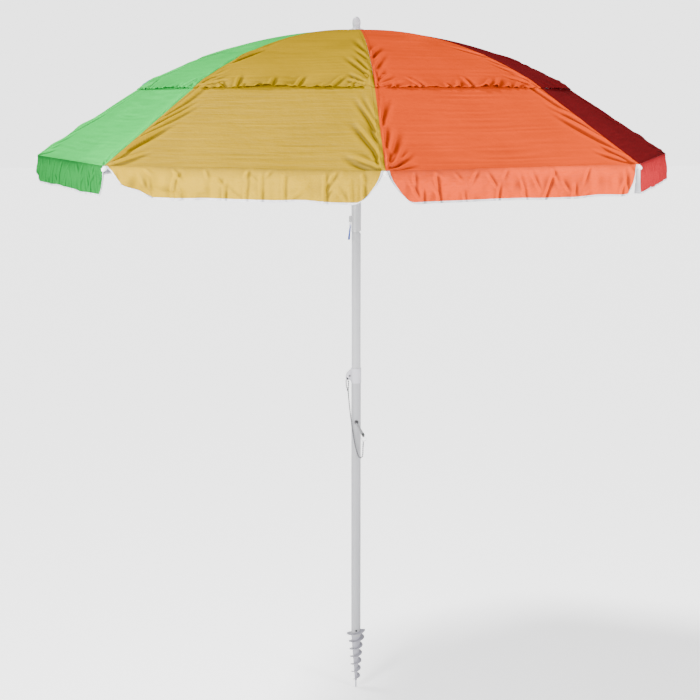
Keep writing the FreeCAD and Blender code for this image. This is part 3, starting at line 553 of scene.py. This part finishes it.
def valance_points(gore, x_share, drop_share, side):
    """The hanging valance on one side of the gore's middle. side is -1 or 1."""
    along, across = gore_frame(gore)
    half = HALF_HEM
    cut = CUT_BACK.get((gore, side), NOTCH)
    notch = 0.004 + (cut - 0.004) * (0.30 * drop_share + 0.70 * drop_share**2.2)
    if (gore, side) in STEPPED:
        cut, notch = 0.02, np.interp(drop_share, *STEPPED[gore, side])
    from_rib = notch + x_share * (half - notch)
    corner = np.clip(1 - (from_rib - notch) / (0.35 * cut + 0.006), 0, 1)
    v = side * (half - from_rib)
    wave = 0.0030 * field(v * 14 + 8, 0 * v, 900 + gore)
    drop = drop_share * (VALANCE - 0.002 + wave - (0.25 * cut) * corner**2)
    loose = fade(drop_share, 0.0, 0.6)
    out = 0.006 * np.sin(drop_share * 1.6)
    out = out + 0.005 * field(v * 8 + 9, drop * 2, 890 + gore) * loose
    out = out + 0.0014 * field(v * 55 + 9, drop * 30, 870 + gore) * loose
    out = out + hanging_creases(v, drop, 800 + gore) * fade(drop_share, 0.0, 0.25)
    out = out * np.clip(from_rib / 0.02, 0.15, 1)
    base = (R * math.cos(HALF_GORE) + out)[..., None] * along + v[..., None] * across
    base[..., 2] = RIM - 0.0004 - drop
    if (gore, side) in CURLED:
        curl = CURLED[gore, side] * (x_share == 0) * (0.3 + 0.7 * drop_share)
        base += curl[..., None] * (-0.924 * along + 0.383 * side * across)
    return base, np.stack([v, 1.0 - drop], -1), folds_of(out)


def grid_normals(points):
    """Normals of a grid of points, from its own neighbours."""
    first = np.gradient(points, axis=0)
    second = np.gradient(points, axis=1)
    return unit(np.cross(first, second))


class Shell:
    """Collects thin cloth grids, each with an outer and an inner face, into one mesh."""

    def __init__(self):
        self.points, self.normals, self.uv, self.folds = [], [], [], []
        self.faces, self.mats = [], []

    def add(self, points, normals, uv, folds, out_mats, in_mats, thick=FABRIC):
        rows, cols = points.shape[:2]
        start = sum(len(p) for p in self.points)
        index = start + np.arange(rows * cols).reshape(rows, cols)
        under = index + rows * cols
        inner = points - normals * np.broadcast_to(thick, (rows, cols))[..., None]
        self.points += [points.reshape(-1, 3), inner.reshape(-1, 3)]
        self.normals += [normals.reshape(-1, 3), -normals.reshape(-1, 3)]
        self.uv += [uv.reshape(-1, 2), uv.reshape(-1, 2)]
        self.folds += [folds.reshape(-1), -folds.reshape(-1)]
        a, b, c, d = index[:-1, :-1], index[1:, :-1], index[1:, 1:], index[:-1, 1:]
        way = np.cross(
            points[1, 0] - points[0, 0], points[0, 1] - points[0, 0]
        ) @ normals[0, 0]
        quads = np.stack([a, b, c, d] if way > 0 else [a, d, c, b], -1).reshape(-1, 4)
        shift = rows * cols
        self.faces += quads.tolist()
        self.mats += np.broadcast_to(out_mats, (rows - 1, cols - 1)).reshape(-1).tolist()
        self.faces += (quads[:, ::-1] + shift).tolist()
        self.mats += np.broadcast_to(in_mats, (rows - 1, cols - 1)).reshape(-1).tolist()
        rims = [index[0], index[-1], index[:, 0], index[:, -1]]
        lows = [under[0], under[-1], under[:, 0], under[:, -1]]
        for top, low in zip(rims, lows):
            for i in range(len(top) - 1):
                self.faces.append([int(top[i]), int(top[i + 1]), int(low[i + 1]), int(low[i])])
                self.mats.append(int(np.asarray(out_mats).reshape(-1)[0]))

    def build(self, name, materials):
        points = np.concatenate(self.points)
        obj = mesh_object(name, points, self.faces)
        mesh = obj.data
        for material in materials:
            mesh.materials.append(material)
        mesh.polygons.foreach_set("material_index", self.mats)
        layer = mesh.uv_layers.new(name="cloth")
        uv = np.concatenate(self.uv)
        corner = np.zeros(len(mesh.loops), np.int32)
        mesh.loops.foreach_get("vertex_index", corner)
        layer.data.foreach_set("uv", uv[corner].astype(np.float32).reshape(-1))
        # crease depth, from which the fabric paints shade into its creases
        depth = mesh.attributes.new("fold", "FLOAT", "POINT")
        depth.data.foreach_set("value", np.concatenate(self.folds).astype(np.float32))
        mesh.normals_split_custom_set_from_vertices(np.concatenate(self.normals).tolist())
        return obj


COLS = 100


def folds_of(relief):
    """How deep each point lies in a crease, from -1 on a ridge to 1 in a valley; the fabric paints shade into
    the creases from it.
    """
    level = relief
    for _ in range(24):
        wide = np.pad(level, 1, mode="edge")
        level = (wide[:-2, 1:-1] + wide[2:, 1:-1] + wide[1:-1, :-2] + wide[1:-1, 2:] + level) / 5
    return np.clip((level - relief) / 0.0011, -1, 1)


def roof_grid(gore, rhos, relief, lift, half):
    """One half of a gore's roof, with normals that match across the gore's middle."""
    t = np.linspace(-1, 1, 2 * COLS + 1)
    s = t * (1.2 - 0.2 * t**2)
    rho, s = np.meshgrid(rhos, s, indexing="ij")
    stand = relief(rho, s, gore)
    folds = folds_of(stand)
    points, uv = roof_points(gore, rho, s, stand, lift)
    normals = grid_normals(points)
    if normals[0, 0, 2] < 0:
        normals = -normals
    cut = slice(0, COLS + 1) if half < 0 else slice(COLS, None)
    return points[:, cut], normals[:, cut], uv[:, cut], folds[:, cut]


def valance_grid(gore, half):
    drops = np.concatenate([np.linspace(0, 1 - TAPE, 24), [1 - TAPE * 0.98, 1]])
    shares = np.concatenate([[0, 0.0160, 0.0162], np.linspace(0.025, 1, 150)])
    x, d = np.meshgrid(shares, drops, indexing="xy")
    points, uv, folds = valance_points(gore, x, d, half)
    both = np.concatenate([points, valance_points(gore, x, d, -half)[0][:, ::-1][:, 1:]], 1)
    normals = grid_normals(both)[:, : points.shape[1]]
    along, _ = gore_frame(gore)
    if normals[8, 30] @ along < 0:
        normals = -normals
    return points, normals, uv, folds


def binding_bulge(points, normals, cols, rows):
    """The white tape stands a little proud of the cloth on both of its faces."""
    tape = np.zeros((rows, cols))
    tape[-2:, :] = 1
    tape[:, :2] = 1
    return points + 0.0004 * tape[..., None] * normals, FABRIC + 0.0008 * tape


CAP_ROWS = np.concatenate([np.linspace(0.009, 0.40, 48), np.linspace(0.405, CAP_EDGE, 60)])
MAIN_ROWS = np.linspace(PANEL_TOP, R, 138)


def canopy_piece(k, word, gore, half):
    """Half a gore, sewn to its rib: vent cap, main panel and valance in one mesh."""
    shell = Shell()
    cap = roof_grid(gore, CAP_ROWS, cap_relief, CAP_LIFT, half)
    main = roof_grid(gore, MAIN_ROWS, panel_relief, 0.0, half)
    shell.add(*cap, 0, 1)
    shell.add(*main, 0, 1)
    points, normals, uv, folds = valance_grid(gore, half)
    rows, cols = folds.shape
    points, thick = binding_bulge(points, normals, cols, rows)
    paint = np.zeros((rows - 1, cols - 1), int)
    paint[-1, :] = 2
    paint[:, 0] = 2
    shell.add(points, normals, uv, folds, paint, np.where(paint == 2, 2, 1), thick)
    piece = shell.build(f"canopy_{k}_{word}", [cloth[gore], lining, binding])
    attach(piece, f"rib_{k}")
    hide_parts(f"panel_{k}_{word}")
    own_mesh(piece)


def lathe(name, profile, at, way, material, sides=24):
    """A turned piece: (radius, height) pairs round an axis."""
    place = Matrix.Translation(Vector(at)) @ Vector(way).to_track_quat("Z", "Y").to_matrix().to_4x4()
    turns = np.linspace(0, math.tau, sides, endpoint=False)
    points = [place @ Vector((r * math.cos(a), r * math.sin(a), h)) for r, h in profile for a in turns]
    faces = []
    for ring in range(len(profile) - 1):
        for i in range(sides):
            j = (i + 1) % sides
            low, high = ring * sides, (ring + 1) * sides
            faces.append([low + i, low + j, high + j, high + i])
    last = (len(profile) - 1) * sides
    faces.append(list(range(sides))[::-1])
    faces.append([last + i for i in range(sides)])
    obj = mesh_object(name, points, faces)
    obj.data.materials.append(material)
    return obj


# cap on each rib's end: mouth with a rolled lip, body, rounded nose
CAP_PROFILE = [
    (0.0030, -0.0150), (0.0042, -0.0152), (0.0045, -0.0145), (0.0043, -0.0135), (0.0042, -0.0060),
    (0.0046, -0.0015), (0.0048, 0.0030), (0.0048, 0.0065), (0.0044, 0.0095), (0.0036, 0.0118),
    (0.0024, 0.0132), (0.0008, 0.0138),
]
cap_white = moulded_plastic("rib_cap_white", (0.80, 0.80, 0.82, 1), 0.3)
ROD_END = (R - 0.0020 - 0.0058 * math.sin(math.atan(SLOPE)),
           RIM + 0.0020 * SLOPE - 0.0058 * math.cos(math.atan(SLOPE)))

for k in RIBS:
    canopy_piece(k, "left", k, -1)
    canopy_piece(k, "right", (k - 2) % 8 + 1, 1)
    turn = rib_turn(k)
    out = Vector((math.cos(turn), math.sin(turn), 0))
    cap = lathe(
        f"rib_cap_{k}", CAP_PROFILE, out * ROD_END[0] + Vector((0, 0, ROD_END[1])),
        out - Vector((0, 0, SLOPE)), cap_white,
    )
    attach(cap, f"rib_{k}")

# ---- ball chain ---------------------------------------------------------------------------
CHAIN_ROUTE = [
    (-22.6, -4.0, 883), (-20.8, -6.5, 857), (-18.2, -9.8, 829), (-14.8, -13.2, 798),
    (-10.8, -16.2, 768), (-6.0, -18.8, 739), (-1.2, -20.8, 717), (3.4, -22.0, 702),
    (7.6, -23.0, 693.2), (15.6, -24.8, 694.4), (17.4, -25.5, 707.5), (17.1, -25.9, 722.5),
    (18.3, -26.0, 737),
]
LOOP_ROUTE = [
    (-21.9, -5.4, 889.6), (-20.7, -8.2, 902.5), (-24.4, -7.6, 915.4),
    (-24.7, 7.2, 915.4), (-28.4, 6.2, 902.5), (-26.0, -1.6, 889.8),
]
BALL = 0.00215
BALL_PITCH = 0.0056


def smooth_line(name, route):
    """Points every tenth of a millimetre or so along the curve through a route in mm."""
    data = bpy.data.curves.new(name, "CURVE")
    data.dimensions = "3D"
    data.resolution_u = 24
    spline = data.splines.new("NURBS")
    spline.points.add(len(route) - 1)
    for point, (x, y, z) in zip(spline.points, route):
        point.co = (x / 1000, y / 1000, z / 1000, 1)
    spline.order_u = 3
    spline.use_endpoint_u = True
    line = link(bpy.data.objects.new(name, data))
    bpy.context.view_layer.update()
    drawn = bpy.data.meshes.new_from_object(line)
    points = np.array([v.co for v in drawn.vertices])
    bpy.data.meshes.remove(drawn)
    bpy.data.objects.remove(line)
    bpy.data.curves.remove(data)
    return points


def evenly(points, pitch):
    """Points at an even pitch along a line, and the line's length."""
    steps = np.linalg.norm(np.diff(points, axis=0), axis=1)
    reach = np.concatenate([[0], np.cumsum(steps)])
    count = max(2, round(reach[-1] / pitch) + 1)
    at = np.linspace(0, reach[-1], count)
    return np.stack([np.interp(at, reach, points[:, i]) for i in range(3)], -1), float(reach[-1])


def ball_chain(name, points, joined=()):
    """Hollow balls joined by short wires, as one mesh. joined are further wires, as pairs of ends."""
    made = bmesh.new()
    for point in points:
        bmesh.ops.create_uvsphere(
            made, u_segments=16, v_segments=10, radius=BALL, matrix=Matrix.Translation(point)
        )
    for first, second in [*zip(points, points[1:]), *joined]:
        way = Vector(second) - Vector(first)
        turn = way.to_track_quat("Z", "Y").to_matrix().to_4x4()
        place = Matrix.Translation((Vector(first) + Vector(second)) / 2) @ turn
        bmesh.ops.create_cone(
            made, segments=8, radius1=0.0006, radius2=0.0006, depth=way.length, matrix=place
        )
    mesh = bpy.data.meshes.new(name)
    made.to_mesh(mesh)
    made.free()
    mesh.polygons.foreach_set("use_smooth", [True] * len(mesh.polygons))
    mesh.materials.append(chain_steel)
    return link(bpy.data.objects.new(name, mesh))


CLASP_PROFILE = [
    (0.0016, -0.0030), (0.0026, -0.0026), (0.0029, -0.0012), (0.0027, 0.0), (0.0029, 0.0012),
    (0.0026, 0.0026), (0.0016, 0.0030),
]
chain_line = smooth_line("chain_line", CHAIN_ROUTE)
loop_line = smooth_line("loop_line", LOOP_ROUTE)
chain_balls, chain_length = evenly(chain_line, BALL_PITCH)
loop_balls, loop_length = evenly(loop_line, BALL_PITCH)
RING_FOOT = (0.0181, -0.0260, 0.7412)
chain = ball_chain("chain", chain_balls, [(chain_balls[-1], RING_FOOT)])
CLASP = (-0.0234, -0.0042, 0.8832)
loop = ball_chain("loop_of_chain", loop_balls, [(loop_balls[0], CLASP), (loop_balls[-1], CLASP)])
clasp = lathe("chain_clasp", CLASP_PROFILE, CLASP, (0.0018, -0.0025, 0.0260), chain_steel, 20)
for piece in (loop, clasp):
    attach(piece, "lower_pole")
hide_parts("ball_chain")
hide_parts("chain_loop")
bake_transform(chain)

# ---- floor, light -------------------------------------------------------------------------
floor = mesh_object(
    "floor", [(-30, -30, 0), (30, -30, 0), (30, 30, 0), (-30, 30, 0)], [[0, 1, 2, 3]], False
)
n = Nodes("floor")
shade = n.add("ShaderNodeBsdfPrincipled", Roughness=0.9)
n.set(shade, "Base Color", (0.93, 0.93, 0.93, 1))
n.set(shade, "Emission Color", (1, 1, 1, 1))
shade.inputs["Emission Strength"].default_value = 0.75
n.set(n.output, "Surface", shade.outputs[0])
floor.data.materials.append(n.material)

world = bpy.data.worlds.new("studio")
scene.world = world
world.use_nodes = True
tree = world.node_tree
place = tree.nodes.new("ShaderNodeTexCoord")
parts = tree.nodes.new("ShaderNodeSeparateXYZ")
tree.links.new(place.outputs["Generated"], parts.inputs[0])
ramp = tree.nodes.new("ShaderNodeMapRange")
ramp.interpolation_type = "SMOOTHSTEP"
for i, value in enumerate((0.26, 0.52, 3.0, 0.45), 1):
    ramp.inputs[i].default_value = value
tree.links.new(parts.outputs[2], ramp.inputs[0])
backdrop = tree.nodes["Background"]
backdrop.inputs[0].default_value = (1, 1, 1, 1)
tree.links.new(ramp.outputs[0], backdrop.inputs[1])


def sun(name, source, angle, power):
    data = bpy.data.lights.new(name, "SUN")
    data.angle = math.radians(angle)
    data.energy = power
    lamp = link(bpy.data.objects.new(name, data))
    lamp.rotation_euler = Vector(source).to_track_quat("Z", "Y").to_euler()


def softbox(name, place, size, power, aim=1.65):
    """A soft light, width by height, that looks at the pole's axis at the height aim."""
    data = bpy.data.lights.new(name, "AREA")
    data.shape = "RECTANGLE"
    data.size, data.size_y = size
    data.energy = power
    lamp = link(bpy.data.objects.new(name, data))
    lamp.location = place
    lamp.rotation_euler = (Vector(place) - Vector((0, 0, aim))).to_track_quat("Z", "Y").to_euler()
    lamp.visible_camera = False


sun("top", (-0.42, 0.16, 0.89), 12, 6.4)
softbox("left_box", (-1.1, -1.55, 1.95), (0.5, 0.5), 37)
softbox("right_box", (1.45, -1.4, 1.85), (0.5, 0.5), 33)
softbox("pole_strip", (-1.3, -1.8, 1.0), (0.42, 1.9), 36, 1.0)
